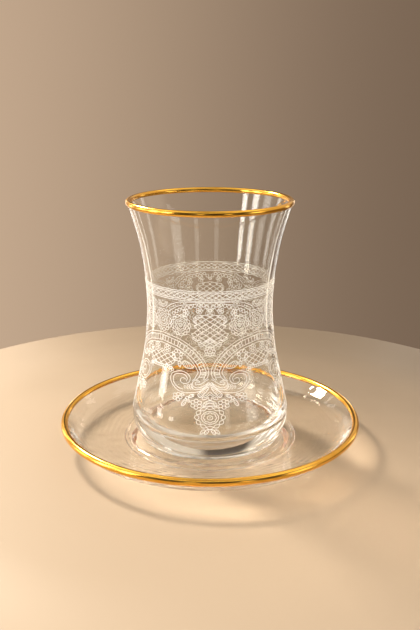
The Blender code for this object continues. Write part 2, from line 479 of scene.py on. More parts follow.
MM = 0.001
ENAMEL_LINE_HALF_WIDTH = 0.112 * MM
ENAMEL_LINE_HEIGHT = 0.06 * MM
ENAMEL_LIFT = 0.01 * MM
ENAMEL_DOT_RADIUS = 0.22 * MM
ENAMEL_WHITE = (0.95, 0.94, 0.93, 1.0)
ENAMEL_THIN = (0.83, 0.815, 0.79, 1.0)
# Painted shade: the enamel's side that faces into the glass is coloured darker, partly the duller
# back of the print.
ENAMEL_UNDERSIDE_SHADE = (0.88, 0.85, 0.81, 1.0)
ENAMEL_GRAIN_SCALE = 900.0
ENAMEL_THIN_PATCHES = (0.45, 0.75)
ENAMEL_UNDERSIDE_SHADE_FADE = (0.1, -0.3)
ENAMEL_ROUGHNESS = (0.30, 0.50)
LINE_SIDES = 6
DOT_SEGMENTS = 8
DOT_RINGS = 4
PRINT_REACH = 0.1

BRAID_HEIGHT = 64.7
BRAID_SWING = 0.86
BRAID_PERIODS = 20
BRAID_STRANDS = 3
BRAID_WEIGHT = 0.9
BRAID_BORDERS = (62.90, 63.50, 65.90, 66.50)
BORDER_POINTS = 180
POINTS_IN_A_PERIOD = 14


def number(tree, operation, *values):
    """A Math node, from numbers or sockets."""
    return add_node(tree, "ShaderNodeMath", dict(enumerate(values)), operation=operation)


def vector(tree, operation, *values):
    """A Vector Math node, from vectors or sockets."""
    return add_node(tree, "ShaderNodeVectorMath", dict(enumerate(values)), operation=operation)


def scaled(tree, value, factor):
    """A vector made longer or shorter by a factor."""
    inputs = {0: value, "Scale": factor}
    return add_node(tree, "ShaderNodeVectorMath", inputs, operation="SCALE")


def dot_product(tree, first, second):
    return vector(tree, "DOT_PRODUCT", first, second).outputs["Value"]


def joined(tree, **axes):
    """A vector from its X, Y and Z. An axis that is left out is 0."""
    return add_node(tree, "ShaderNodeCombineXYZ", axes)


def white_enamel_material():
    """Satin white enamel, a little thinner and greyer where the print took less paint, and darker
    on the side that faces into the glass it is fired onto, seen through that glass: partly the
    duller back of the print, partly painted shade."""
    material, tree, shader = new_material("white enamel")
    place = add_node(tree, "ShaderNodeTexCoord").outputs
    paint = noise(tree, place["Object"], ENAMEL_GRAIN_SCALE, 2.0)
    thin = mapped(tree, paint, ENAMEL_THIN_PATCHES)
    from_axis = vector(tree, "MULTIPLY", place["Object"], (1.0, 1.0, 0.0))
    faces_out = dot_product(tree, vector(tree, "NORMALIZE", from_axis), place["Normal"])
    # Painted shade, partly the duller back of the print: faces turned in towards the axis take the
    # darker colour.
    underside_shade = mapped(tree, faces_out, ENAMEL_UNDERSIDE_SHADE_FADE)
    upper_side = blended(tree, thin, ENAMEL_WHITE, ENAMEL_THIN)
    set_inputs(shader, {
        "Base Color": blended(tree, underside_shade, upper_side, ENAMEL_UNDERSIDE_SHADE),
        "Roughness": mapped(tree, paint, (0.0, 1.0), ENAMEL_ROUGHNESS),
    })
    return material


def enamel_print_tree():
    """Prints a flat drawing on the wall of the glass. In the drawing X is the turn from the front
    in radians and Z the height. Strokes become low rounded lines, and loose points become dots."""
    tree = bpy.data.node_groups.new("Enamel Print", "GeometryNodeTree")
    named_sockets(tree, "INPUT", (
        ("Drawing", "Geometry", None),
        ("Wall", "Object", None),
        ("Line Half Width", "Float", ENAMEL_LINE_HALF_WIDTH),
        ("Line Height", "Float", ENAMEL_LINE_HEIGHT),
        ("Lift", "Float", ENAMEL_LIFT),
        ("Dot Radius", "Float", ENAMEL_DOT_RADIUS),
        ("Repeats", "Int", 4),
        ("Enamel", "Material", None),
    ))
    named_sockets(tree, "OUTPUT", (("Printed", "Geometry", None),))
    given = add_node(tree, "NodeGroupInput").outputs
    wall = add_node(tree, "GeometryNodeObjectInfo", {"Object": given["Wall"]})

    # Each point is sent straight in at its turn and height, and stays where it meets the wall.
    position = add_node(tree, "GeometryNodeInputPosition")
    drawn = add_node(tree, "ShaderNodeSeparateXYZ", {"Vector": position}).outputs
    sine = number(tree, "SINE", drawn["X"])
    minus_cosine = number(tree, "MULTIPLY", number(tree, "COSINE", drawn["X"]), -1.0)
    outwards = joined(tree, X=sine, Y=minus_cosine)
    hit = add_node(tree, "GeometryNodeRaycast", {
        "Target Geometry": wall.outputs["Geometry"],
        "Source Position": vector(
            tree, "ADD", joined(tree, Z=drawn["Z"]), scaled(tree, outwards, PRINT_REACH)
        ),
        "Ray Direction": scaled(tree, outwards, -1.0), "Ray Length": PRINT_REACH,
    }).outputs
    lift = scaled(tree, hit["Hit Normal"], given["Lift"])
    facing = add_node(tree, "GeometryNodeStoreNamedAttribute", {
        "Geometry": given["Drawing"], "Name": "facing", "Value": hit["Hit Normal"],
    }, data_type="FLOAT_VECTOR", domain="POINT")
    wrapped = add_node(tree, "GeometryNodeSetPosition", {
        "Geometry": facing, "Position": vector(tree, "ADD", hit["Hit Position"], lift),
    })
    stored = "GeometryNodeInputNamedAttribute"
    facing_out = add_node(tree, stored, {"Name": "facing"}, data_type="FLOAT_VECTOR")
    weight = add_node(tree, stored, {"Name": "weight"}, data_type="FLOAT")

    edges = add_node(tree, "GeometryNodeEdgesOfVertex")
    in_stroke = add_node(tree, "FunctionNodeCompare", {
        2: edges.outputs["Total"], 3: 0,
    }, data_type="INT", operation="GREATER_THAN")
    parts = add_node(tree, "GeometryNodeSeparateGeometry", {
        "Geometry": wrapped, "Selection": in_stroke,
    }, domain="POINT").outputs

    # Strokes: a low oval that stands on its base is drawn along each one.
    strokes = add_node(tree, "GeometryNodeMeshToCurve", {"Mesh": parts["Selection"]})
    upright = add_node(tree, "GeometryNodeSetCurveNormal", {
        "Curve": strokes, "Normal": facing_out,
    }, mode="FREE")
    circle = add_node(tree, "GeometryNodeCurvePrimitiveCircle", {
        "Resolution": LINE_SIDES, "Radius": 1.0,
    })
    half_height = number(tree, "MULTIPLY", given["Line Height"], 0.5)
    profile = add_node(tree, "GeometryNodeTransform", {
        "Geometry": circle, "Translation": joined(tree, X=half_height),
        "Scale": joined(tree, X=half_height, Y=given["Line Half Width"], Z=1.0),
    })
    lines = add_node(tree, "GeometryNodeCurveToMesh", {
        "Curve": upright, "Profile Curve": profile, "Scale": weight, "Fill Caps": True,
    })

    # Dots: a flat bead on each loose point.
    places = add_node(tree, "GeometryNodeMeshToPoints", {"Mesh": parts["Inverted"]})
    bead = add_node(tree, "GeometryNodeMeshUVSphere", {
        "Segments": DOT_SEGMENTS, "Rings": DOT_RINGS, "Radius": 1.0,
    })
    droplet = add_node(tree, "GeometryNodeTransform", {
        "Geometry": bead, "Translation": joined(tree, Z=half_height),
        "Scale": joined(tree, X=given["Dot Radius"], Y=given["Dot Radius"], Z=half_height),
    })
    align = "FunctionNodeAlignRotationToVector"
    towards = add_node(tree, align, {"Vector": facing_out}, axis="Z")
    dots = add_node(tree, "GeometryNodeInstanceOnPoints", {
        "Points": places, "Instance": droplet, "Rotation": towards, "Scale": weight,
    })

    # The repeat is set evenly round the axis and made one mesh.
    one_repeat = add_node(tree, "GeometryNodeJoinGeometry", {0: lines})
    set_inputs(one_repeat, {0: dots})
    axis_points = add_node(tree, "GeometryNodePoints", {"Count": given["Repeats"]})
    index = add_node(tree, "GeometryNodeInputIndex")
    share = number(tree, "DIVIDE", index, given["Repeats"])
    about_axis = add_node(tree, "FunctionNodeAxisAngleToRotation", {
        "Axis": (0.0, 0.0, 1.0), "Angle": number(tree, "MULTIPLY", share, 2 * math.pi),
    })
    round_glass = add_node(tree, "GeometryNodeInstanceOnPoints", {
        "Points": axis_points, "Instance": one_repeat, "Rotation": about_axis,
    })
    real = add_node(tree, "GeometryNodeRealizeInstances", {"Geometry": round_glass})
    smooth = add_node(tree, "GeometryNodeSetShadeSmooth", {"Geometry": real})
    painted = add_node(tree, "GeometryNodeSetMaterial", {
        "Geometry": smooth, "Material": given["Enamel"],
    })
    add_node(tree, "NodeGroupOutput", {"Printed": painted})
    return tree


enamel_print = enamel_print_tree()
white_enamel = white_enamel_material()


class LaceDrawing:
    """Strokes and dots of one piece of lace, in degrees round from the front and millimetres up
    from the table."""

    def __init__(self):
        self.points = []
        self.links = []
        self.weights = []

    def stroke(self, points, closed=False, weight=1.0):
        first = len(self.points)
        self.points += points
        self.links += [(i, i + 1) for i in range(first, len(self.points) - 1)]
        if closed:
            self.links.append((len(self.points) - 1, first))
        self.weights += [weight] * len(points)

    def dot(self, point, weight=1.0):
        self.points.append(point)
        self.weights.append(weight)

    def stroke_pair(self, points, closed=False, weight=1.0):
        """A stroke and its mirror image on the other side of the front."""
        self.stroke(points, closed, weight)
        self.stroke([(-turn, height) for turn, height in points], closed, weight)

    def dot_pair(self, point, weight=1.0):
        self.dot(point, weight)
        self.dot((-point[0], point[1]), weight)


def printed(name, drawing, repeats):
    """Prints a drawing on the glass, repeated evenly round it, and gives it its place."""
    mesh = bpy.data.meshes.new(name + "_drawing")
    flat = [(math.radians(turn), 0.0, height * MM) for turn, height in drawing.points]
    mesh.from_pydata(flat, drawing.links, [])
    weight = mesh.attributes.new("weight", "FLOAT", "POINT")
    weight.data.foreach_set("value", drawing.weights)
    paper = added(name + "_drawing", mesh)
    press = paper.modifiers.new("Print", "NODES")
    press.node_group = enamel_print
    sockets = {item.name: item.identifier for item in enamel_print.interface.items_tree}
    press[sockets["Wall"]] = glass
    press[sockets["Repeats"]] = repeats
    press[sockets["Enamel"]] = white_enamel
    piece = settled(name, paper)
    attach(piece, "root")
    return piece


def all_round(count):
    """count turns in degrees, evenly spaced round the glass."""
    return evenly(0, 360, count + 1)[:-1]


braid = LaceDrawing()
for height in BRAID_BORDERS:
    braid.stroke([(turn, height) for turn in all_round(BORDER_POINTS)], closed=True)
for strand in range(BRAID_STRANDS):
    wave = []
    for turn in all_round(BRAID_PERIODS * POINTS_IN_A_PERIOD):
        phase = math.radians(turn * BRAID_PERIODS) + 2 * math.pi * strand / BRAID_STRANDS
        wave.append((turn, BRAID_HEIGHT + BRAID_SWING * math.sin(phase)))
    braid.stroke(wave, closed=True, weight=BRAID_WEIGHT)
printed("lace_braid", braid, 1)

# White lace, garlands. A beaded double line swags from each rosette up to the braid, and a chain
# of loops follows it inside, with a drop in the middle and small flowers hanging from it. Where
# two repeats meet, a beaded scallop hangs.

REPEATS = 4
GARLAND_UPPER = ((41.5, 59.0), (37.0, 60.4), (33.0, 61.2), (27.0, 62.1), (20.0, 62.4),
                 (12.0, 62.55), (0.0, 62.6))
GARLAND_LOWER = ((38.5, 57.8), (34.0, 59.2), (30.0, 60.2), (25.0, 61.0), (18.0, 61.5),
                 (12.0, 61.9))
GARLAND_BEADED_POINTS = 5
GARLAND_BEAD_SPACING = 1.1
GARLAND_BEAD_WEIGHT = 0.9
LOOP_CHAIN = ((33.0, 57.6), (27.0, 59.3), (22.0, 60.1), (18.0, 60.6), (12.0, 61.3), (7.5, 61.7),
              (4.0, 61.3), (1.6, 60.4), (0.0, 59.4))
LOOP_RADIUS = 0.62
LOOP_SPACING = 1.5
HANGING_FLOWERS = ((9.0, 59.5, 1.25), (21.0, 58.4, 1.3))
HANGING_FLOWER_PETALS = 5
FLOWER_DOT_WEIGHT = 0.7
SCALLOP_PENDANT = (45.0, 61.6)
SCALLOP_RADII = (2.3, 2.3 * 0.62)
SCALLOP_BEAD_REACH = 2.3 * 0.81
SCALLOP_BEADS = 7
SCALLOP_END_ANGLE = 0.2
STROKE_STEP = 0.35
FINE_STEP = 0.3
RING_POINTS_PER_MM = 18
FEWEST_RING_POINTS = 10
POINTS_IN_A_LOBE = 8


def across(height):
    """Millimetres of outer wall for one degree round, at a height in millimetres."""
    return outer_radius(height * MM) / MM * math.radians(1)


def spot(centre, right, up):
    """The point of the drawing that lies so many millimetres right of a centre, and up."""
    height = centre[1] + up
    return (centre[0] + right / across(height), height)


def about(centre, reach, angle, squash=1.0):
    """The point of the drawing that lies reach millimetres from a centre, at an angle."""
    return spot(centre, reach * math.cos(angle), reach * squash * math.sin(angle))


def through(points, closed=False, step=STROKE_STEP):
    """A smooth stroke through a few points, with a point about every step millimetres."""
    count = len(points)
    stroke = []
    for i in range(count if closed else count - 1):
        if closed:
            four = [points[(i + k) % count] for k in (-1, 0, 1, 2)]
        else:
            four = [points[min(max(i + k, 0), count - 1)] for k in (-1, 0, 1, 2)]
        run = (four[2][0] - four[1][0]) * across(four[1][1])
        pieces = max(1, round(math.hypot(run, four[2][1] - four[1][1]) / step))
        for k in range(pieces):
            t = k / pieces
            stroke.append(tuple(
                0.5 * (2 * b + (c - a) * t + (2 * a - 5 * b + 4 * c - d) * t**2
                       + (3 * b - a - 3 * c + d) * t**3)
                for a, b, c, d in zip(*four)
            ))
    if not closed:
        stroke.append(points[-1])
    return stroke


def finely(points, closed=False):
    """A smooth stroke as above, with its points closer together, for the small motifs."""
    return through(points, closed, FINE_STEP)


def beside(stroke, distances):
    """The line beside a stroke, each point so many millimetres to its left."""
    line = []
    for i, point in enumerate(stroke):
        before = stroke[max(i - 1, 0)]
        after = stroke[min(i + 1, len(stroke) - 1)]
        run = (after[0] - before[0]) * across(point[1])
        rise = after[1] - before[1]
        away = distances[i] / math.hypot(run, rise)
        line.append(spot(point, -rise * away, run * away))
    return line


def along(stroke, spacing):
    """Points of a stroke that lie about spacing millimetres apart."""
    chosen = [stroke[0]]
    walked = 0.0
    for before, after in zip(stroke, stroke[1:]):
        run = (after[0] - before[0]) * across(after[1])
        walked += math.hypot(run, after[1] - before[1])
        if walked >= spacing:
            chosen.append(after)
            walked -= spacing
    return chosen


def ring(centre, radius, squash=1.0):
    """A closed round line, or an oval that is squash times as high as it is wide."""
    count = max(FEWEST_RING_POINTS, round(radius * RING_POINTS_PER_MM))
    return [about(centre, radius, 2 * math.pi * i / count, squash) for i in range(count)]


def scalloped(centre, radius, depth, lobes, squash=1.0):
    """A closed line of round lobes that stand depth millimetres out from a ring, or into it."""
    line = []
    for i in range(lobes * POINTS_IN_A_LOBE):
        turn = 2 * math.pi * (i / POINTS_IN_A_LOBE + 0.5) / lobes
        reach = radius + depth * abs(math.sin(lobes * turn / 2 + math.pi / 2))
        line.append(about(centre, reach, turn, squash))
    return line


def flower(drawing, centre, petals, radius, squash=1.0):
    """A pair of small flowers, one on each side: round petals side by side about a dot."""
    share = math.sin(math.pi / petals)
    petal = radius * share / (1 + share)
    for i in range(petals):
        place = about(centre, radius - petal, 2 * math.pi * (i + 0.5) / petals, squash)
        drawing.stroke_pair(ring(place, petal, squash), closed=True)
    drawing.dot_pair(centre, FLOWER_DOT_WEIGHT)


garlands = LaceDrawing()
garlands.stroke_pair(through(GARLAND_UPPER))
garlands.stroke_pair(through(GARLAND_LOWER))
beaded_rails = [finely(rail[:GARLAND_BEADED_POINTS]) for rail in (GARLAND_UPPER, GARLAND_LOWER)]
between = [((a[0] + b[0]) / 2, (a[1] + b[1]) / 2) for a, b in zip(*beaded_rails)]
for place in along(between, GARLAND_BEAD_SPACING):
    garlands.dot_pair(place, GARLAND_BEAD_WEIGHT)
for place in along(through(LOOP_CHAIN), LOOP_SPACING):
    garlands.stroke_pair(ring(place, LOOP_RADIUS), closed=True)
for turn, height, radius in HANGING_FLOWERS:
    flower(garlands, (turn, height), HANGING_FLOWER_PETALS, radius)
for radius in SCALLOP_RADII:
    garlands.stroke([about(SCALLOP_PENDANT, -radius, t) for t in evenly(0, math.pi, 22)])
for t in evenly(SCALLOP_END_ANGLE, math.pi - SCALLOP_END_ANGLE, SCALLOP_BEADS):
    garlands.dot(about(SCALLOP_PENDANT, -SCALLOP_BEAD_REACH, t), 0.8)
garlands.dot(SCALLOP_PENDANT, 1.2)
printed("lace_garlands", garlands, REPEATS)

# White lace, rosettes. Wheels of fine rings inside a chain of loops, under the garlands and above
# the tops of the arches.

SIDE_ROSETTE = (26.2, 53.6)
SIDE_ROSETTE_RADIUS = 4.0
JOINT_ROSETTE = (45.0, 54.4)
JOINT_ROSETTE_RADIUS = 4.2
ROSETTE_RINGS = ((0.86, 0.14, 13), (0.86, -0.14, 13), (0.56, 0, 0), (0.34, 0.08, 8), (0.16, 0, 0))


def wheel(drawing, centre, rings, size=1.0, squash=1.0):
    """Rings one inside the other. Each is given as its radius, and the depth and number of its
    lobes, which are 0 where it is plain. Two scalloped rings back to back make a chain of loops."""
    for radius, depth, lobes in rings:
        if lobes:
            line = scalloped(centre, radius * size, depth * size, lobes, squash)
        else:
            line = ring(centre, radius * size, squash)
        drawing.stroke(line, closed=True)


rosettes = LaceDrawing()
for side in (-1, 1):
    wheel(
        rosettes, (side * SIDE_ROSETTE[0], SIDE_ROSETTE[1]), ROSETTE_RINGS, SIDE_ROSETTE_RADIUS
    )
wheel(rosettes, JOINT_ROSETTE, ROSETTE_RINGS, JOINT_ROSETTE_RADIUS)
printed("lace_rosettes", rosettes, REPEATS)

# White lace, lattices. A cloud-edged medallion filled with a diamond lattice hangs in the middle
# over a small flower, and a basket of the same lattice stands under each arch.

DIAMOND_TURN = 7.0
DIAMOND_HEIGHT = 1.95
LATTICE_SAMPLES = 120
LATTICE_THINNING = 4
CLOUD_EDGE = ((0.0, 58.5), (3.5, 57.9), (7.0, 57.8), (9.6, 57.6), (12.2, 57.4), (14.2, 56.4),
              (14.1, 55.2), (12.4, 54.6), (10.8, 54.4), (13.6, 53.7), (10.7, 52.6), (9.8, 52.1),
              (12.2, 51.9), (13.4, 51.2), (16.0, 50.8), (14.6, 49.9), (14.9, 49.0), (12.8, 48.6),
              (11.0, 48.2), (9.2, 48.6), (7.4, 48.2), (9.6, 47.5), (9.0, 46.5), (6.8, 46.3),
              (4.8, 46.9), (2.8, 46.4), (0.0, 46.1))
CLOUD_LATTICE_ORIGIN = (0.0, 55.35)
CLOUD_CURL = ((7.2, 56.9), (9.4, 57.0), (11.6, 56.8), (13.0, 56.1), (12.9, 55.5), (11.4, 55.0))
CLOUD_CHEVRONS = (49.3, 48.7)
CHEVRON_HALF_TURN = 4.2
CHEVRON_DROP = 1.25
CLOUD_FLOWER = (0.0, 44.7)
CLOUD_FLOWER_PETALS = 8
CLOUD_FLOWER_SPOKE = (0.95, 1.5)
CLOUD_FLOWER_PETAL_DEPTH = 0.45
BASKET_EDGE = ((31.0, 42.6), (34.0, 42.9), (37.0, 42.4), (41.0, 42.2), (45.0, 43.6), (49.0, 42.2),
               (53.0, 42.4), (56.0, 42.9), (59.0, 42.6), (60.0, 40.6), (57.5, 38.9), (53.5, 38.3),
               (49.5, 38.0), (45.0, 37.9), (40.5, 38.0), (36.5, 38.3), (32.5, 38.9), (30.0, 40.6))
BASKET_LATTICE_ORIGIN = (45.0, 40.5)
BASKET_FRINGE_TURNS = (33.5, 56.5, 11)
BASKET_FRINGE_HEIGHT = 37.45
BASKET_FRINGE_RADIUS = 0.5


def inside(point, outline):
    """Whether a point lies inside a closed outline."""
    within = False
    for (x0, y0), (x1, y1) in zip(outline, outline[1:] + outline[:1]):
        if (y0 > point[1]) != (y1 > point[1]):
            if point[0] < x0 + (point[1] - y0) / (y1 - y0) * (x1 - x0):
                within = not within
    return within


def lattice(drawing, outline, origin):
    """Fills a closed outline with slanted lines that cross in diamonds."""
    turns = [turn for turn, height in outline]
    heights = [height for turn, height in outline]
    rows = math.ceil((max(heights) - min(heights)) / DIAMOND_HEIGHT) + 6
    for slope in (-DIAMOND_HEIGHT / DIAMOND_TURN, DIAMOND_HEIGHT / DIAMOND_TURN):
        for row in range(-rows, rows):
            line = [(turn, origin[1] + row * DIAMOND_HEIGHT + slope * (turn - origin[0]))
                    for turn in evenly(min(turns), max(turns), LATTICE_SAMPLES)]
            for within, points in itertools.groupby(line, lambda point: inside(point, outline)):
                if within:
                    run = list(points)
                    drawing.stroke(run[:-1:LATTICE_THINNING] + run[-1:])


def mirrored_edge(half):
    """Closes the right half of an edge with its mirror image about the front."""
    return [*half, *((-turn, height) for turn, height in reversed(half[1:-1]))]


lattices = LaceDrawing()
cloud = finely(mirrored_edge(CLOUD_EDGE), closed=True)
lattices.stroke(cloud, closed=True)
lattice(lattices, cloud, CLOUD_LATTICE_ORIGIN)
lattices.stroke_pair(through(CLOUD_CURL))
for height in CLOUD_CHEVRONS:
    foot = height - CHEVRON_DROP
    lattices.stroke([(-CHEVRON_HALF_TURN, foot), (0.0, height), (CHEVRON_HALF_TURN, foot)])
spoke_start, spoke_end = CLOUD_FLOWER_SPOKE
wheel(lattices, CLOUD_FLOWER, (
    (spoke_end, CLOUD_FLOWER_PETAL_DEPTH, CLOUD_FLOWER_PETALS), (spoke_start, 0, 0),
))
for i in range(CLOUD_FLOWER_PETALS):
    turn = 2 * math.pi * (i + 0.5) / CLOUD_FLOWER_PETALS
    lattices.stroke([about(CLOUD_FLOWER, reach, turn) for reach in CLOUD_FLOWER_SPOKE])
lattices.dot(CLOUD_FLOWER)
basket = through(BASKET_EDGE, closed=True)
lattices.stroke(basket, closed=True)
lattice(lattices, basket, BASKET_LATTICE_ORIGIN)
for turn in evenly(*BASKET_FRINGE_TURNS):
    lattices.stroke(ring((turn, BASKET_FRINGE_HEIGHT), BASKET_FRINGE_RADIUS), closed=True)
printed("lace_lattices", lattices, REPEATS)

# White lace, arches. Wide arches of four fine rails stand side by side round the wall, with rungs
# between the middle rails. Where two arches meet, their rails curl apart.

ARCH_OUTER_RAIL = ((45.0, 49.7), (40.0, 49.5), (30.0, 48.75), (24.0, 47.95), (18.0, 46.6),
                   (12.0, 44.85), (8.0, 43.1), (5.0, 41.4), (3.0, 39.9), (1.6, 38.5), (1.0, 37.3))
ARCH_RAIL_OFFSETS = (0.0, 0.95, 2.9, 3.85)
ARCH_RAIL_ENDS = (
    ((1.3, 36.1), (2.6, 34.9), (4.8, 34.3)),
    ((3.7, 36.0), (5.2, 34.5)),
    ((8.1, 36.0), (9.8, 34.8), (11.6, 34.2)),
    ((10.6, 36.0), (12.2, 34.7), (14.0, 33.9)),
)
ARCH_FOOT_BARS = (((4.2, 36.4), (8.0, 36.3)), ((4.2, 35.4), (8.8, 35.3)))
RUNG_SPACING = 1.5

arches = LaceDrawing()
outer_rail = through(ARCH_OUTER_RAIL)
rails = [beside(outer_rail, [offset] * len(outer_rail)) for offset in ARCH_RAIL_OFFSETS]
for rail, end in zip(rails, ARCH_RAIL_ENDS):
    arches.stroke_pair(rail[:-2] + through([rail[-2], *end]))
for place in along(outer_rail, RUNG_SPACING):
    i = outer_rail.index(place)
    arches.stroke_pair([rails[1][i], rails[2][i]])
for bar in ARCH_FOOT_BARS:
    arches.stroke_pair(list(bar))
printed("lace_arches", arches, REPEATS)

# White lace, scrolls. A double line leaves the middle under each arch, runs out along the belly
# and rolls up into a volute, over leaf strokes that curl and thin out into scales.

SCROLL_LINE = ((0.6, 33.0), (3.0, 31.7), (6.0, 30.7), (10.0, 30.0), (15.0, 29.6), (20.0, 29.45),
               (25.0, 29.9), (29.0, 31.0), (32.3, 32.7), (33.2, 34.2), (31.8, 35.6), (28.0, 36.6),
               (23.5, 36.9), (19.5, 36.5), (16.8, 35.6), (15.8, 34.5), (16.8, 33.3), (18.8, 32.7),
               (21.0, 32.6), (23.4, 33.0), (24.1, 33.7), (23.2, 34.4), (21.2, 34.6), (19.6, 34.2))
SCROLL_INNER_LINE = ((21.5, 30.6), (25.5, 31.0), (28.6, 32.0), (30.4, 33.4), (30.2, 34.7),
                     (28.2, 35.6), (24.5, 36.0), (21.0, 35.8), (18.9, 35.1), (18.2, 34.4),
                     (19.0, 33.5))
LEAF_STROKES = (
    ((1.0, 34.7), (3.5, 34.0), (6.5, 33.1), (9.0, 32.7), (10.6, 32.9)),
    ((1.0, 33.6), (4.0, 32.5), (7.5, 31.7), (10.5, 31.5), (13.0, 32.0), (13.9, 33.0), (12.8, 33.9),
     (10.6, 34.2), (8.3, 33.9)),
    ((8.3, 33.9), (8.2, 33.4), (9.6, 33.6), (11.2, 33.5), (11.7, 32.9), (10.4, 32.4)),
    ((2.6, 32.4), (6.0, 31.3), (10.0, 30.85), (13.0, 31.0), (15.0, 31.8)),
    ((13.0, 31.0), (14.6, 32.4), (15.0, 32.9)),
)
SCALES = ((16.2, 31.8, 1.0), (18.2, 31.6, 0.85), (20.3, 31.5, 0.6))
SCALE_WIDTH = 0.75
SCALE_HEIGHT = 0.95
SCALE_OPENING = 1.7

scrolls = LaceDrawing()
for line in (SCROLL_LINE, SCROLL_INNER_LINE, *LEAF_STROKES):
    scrolls.stroke_pair(finely(line))
for turn, height, size in SCALES:
    width = SCALE_WIDTH * size
    scrolls.stroke_pair([
        spot((turn, height), width * (math.cos(t) - 1), SCALE_HEIGHT * size * math.sin(t))
        for t in evenly(-SCALE_OPENING, SCALE_OPENING, 9)
    ])
    scrolls.dot_pair(spot((turn, height), -width * 0.9, 0), 0.7)
printed("lace_scrolls", scrolls, REPEATS)

# White lace, sprigs. Small flowers, buds and veined leaves fill the ground under the arches and
# beside the pendants.

# Flowers are (turn, height, petals, radius, squash), leaves (base, tip, half width, veins), and
# buds (turn, height, radius).
SPRIG_FLOWERS = ((28.5, 42.3, 8, 2.25, 1.0), (39.0, 44.2, 6, 1.55, 1.0),
                 (10.3, 25.7, 6, 2.15, 0.85), (25.5, 27.6, 5, 1.95, 0.8),
                 (33.5, 36.9, 3, 1.1, 1.0))
SPRIG_LEAVES = (((23.2, 40.3), (13.2, 38.7), 1.05, 7), ((25.6, 40.6), (25.2, 38.2), 0.65, 3),
                ((12.2, 28.9), (16.6, 27.8), 0.50, 4), ((21.4, 24.6), (18.2, 27.6), 0.62, 5),
                ((19.8, 28.4), (23.0, 28.9), 0.35, 2))
LEAF_BOW = 0.25
LEAF_FULLNESS = 0.8
LEAF_VEIN_WEIGHT = 0.8
BUDS = ((17.4, 27.7, 0.55), (15.9, 26.6, 0.42))


def leaf_edges(spine, reach):
    """The lines on both sides of a leaf's spine, each point as far off as its reach."""
    return beside(spine, reach), beside(spine, [-width for width in reach])


def leaf(drawing, base, tip, half_width, veins):
    """A pair of pointed leaves with an edge all round, and veins across from side to side."""
    middle = ((base[0] + tip[0]) / 2, (base[1] + tip[1]) / 2)
    spine = finely(beside([base, middle, tip], [0.0, half_width * LEAF_BOW, 0.0]))
    last = len(spine) - 1
    reach = [half_width * math.sin(math.pi * (i / last) ** LEAF_FULLNESS) ** LEAF_FULLNESS
             for i in range(1, last)]
    left, right = leaf_edges(spine, [0.0, *reach, 0.0])
    drawing.stroke_pair(left + right[-2:0:-1], closed=True)
    for k in range(1, veins + 1):
        i = round(last * k / (veins + 1))
        drawing.stroke_pair([left[i], right[i]], weight=LEAF_VEIN_WEIGHT)


sprigs = LaceDrawing()
for turn, height, petals, radius, squash in SPRIG_FLOWERS:
    flower(sprigs, (turn, height), petals, radius, squash)
for sprig_leaf in SPRIG_LEAVES:
    leaf(sprigs, *sprig_leaf)
for turn, height, radius in BUDS:
    sprigs.stroke_pair(ring((turn, height), radius), closed=True)
printed("lace_sprigs", sprigs, REPEATS)

# White lace, pendants. A ribbed leaf on each side, a small fleur and a shell stand over an oval
# rosette low on the belly, and two pairs of short leaves close the lace at the bottom.

PENDANT_LEAF = ((0.8, 33.4), (2.2, 31.9), (4.6, 30.4), (8.8, 28.4))
PENDANT_LEAF_HALF_WIDTH = 0.78
PENDANT_LEAF_BASE_SHARE = 0.25
PENDANT_LEAF_SWELL = 2.2
PENDANT_LEAF_TIP_SHARE = 0.8
PENDANT_LEAF_VEIN_WEIGHT = 0.9
FLEUR_EDGE = ((0.0, 30.2), (2.2, 29.2), (4.6, 28.6), (5.9, 28.0), (5.2, 27.4), (3.2, 27.6),
              (1.3, 28.2), (0.9, 27.5), (0.0, 27.3))
FLEUR_FOLD = ((0.0, 29.3), (2.2, 28.5), (4.4, 28.0))
SHELL_ARC = ((5.3, 25.0), (4.8, 26.0), (2.8, 26.8), (0.0, 27.2))
SHELL_INNER_ARC = ((3.4, 25.0), (2.8, 25.7), (1.4, 26.1), (0.0, 26.2))
SHELL_BASE = ((-5.3, 25.0), (0.0, 25.25), (5.3, 25.0))
SHELL_RIBS = (0.1, 1.0, 5)
PENDANT_CENTRE = (0.0, 21.0)
PENDANT_SQUASH = 0.735
PENDANT_LOOPS = 12
PENDANT_RINGS = ((4.75, 0.85, PENDANT_LOOPS), (4.75, -0.75, PENDANT_LOOPS), (3.10, 0, 0),
                 (2.00, 0.45, 8), (1.00, 0, 0))
PENDANT_DOT_REACH = 4.8
BOTTOM_LEAVES = (((0.8, 16.8), (3.6, 14.8), 0.55, 3), ((3.2, 16.6), (6.8, 15.0), 0.55, 3))

pendants = LaceDrawing()
spine = finely(PENDANT_LEAF)
last = len(spine) - 1
reach = [
    PENDANT_LEAF_HALF_WIDTH * min(1.0, PENDANT_LEAF_BASE_SHARE + PENDANT_LEAF_SWELL * i / last)
    for i in range(last)
]
reach[-1] *= PENDANT_LEAF_TIP_SHARE
left, right = leaf_edges(spine[:last], reach)
pendants.stroke_pair(left + [spine[-1]] + right[::-1], closed=True)
for i in range(3, last, 2):
    pendants.stroke_pair([left[i], right[i]], weight=PENDANT_LEAF_VEIN_WEIGHT)
pendants.stroke(finely(mirrored_edge(FLEUR_EDGE), closed=True), closed=True)
pendants.stroke_pair(finely(FLEUR_FOLD))
shell = finely(SHELL_ARC)
inner_shell = finely(SHELL_INNER_ARC)
pendants.stroke_pair(shell)
pendants.stroke_pair(inner_shell)
for share in evenly(*SHELL_RIBS):
    pendants.stroke_pair([line[round(share * (len(line) - 1))] for line in (shell, inner_shell)])
pendants.stroke(through(SHELL_BASE))
wheel(pendants, PENDANT_CENTRE, PENDANT_RINGS, squash=PENDANT_SQUASH)
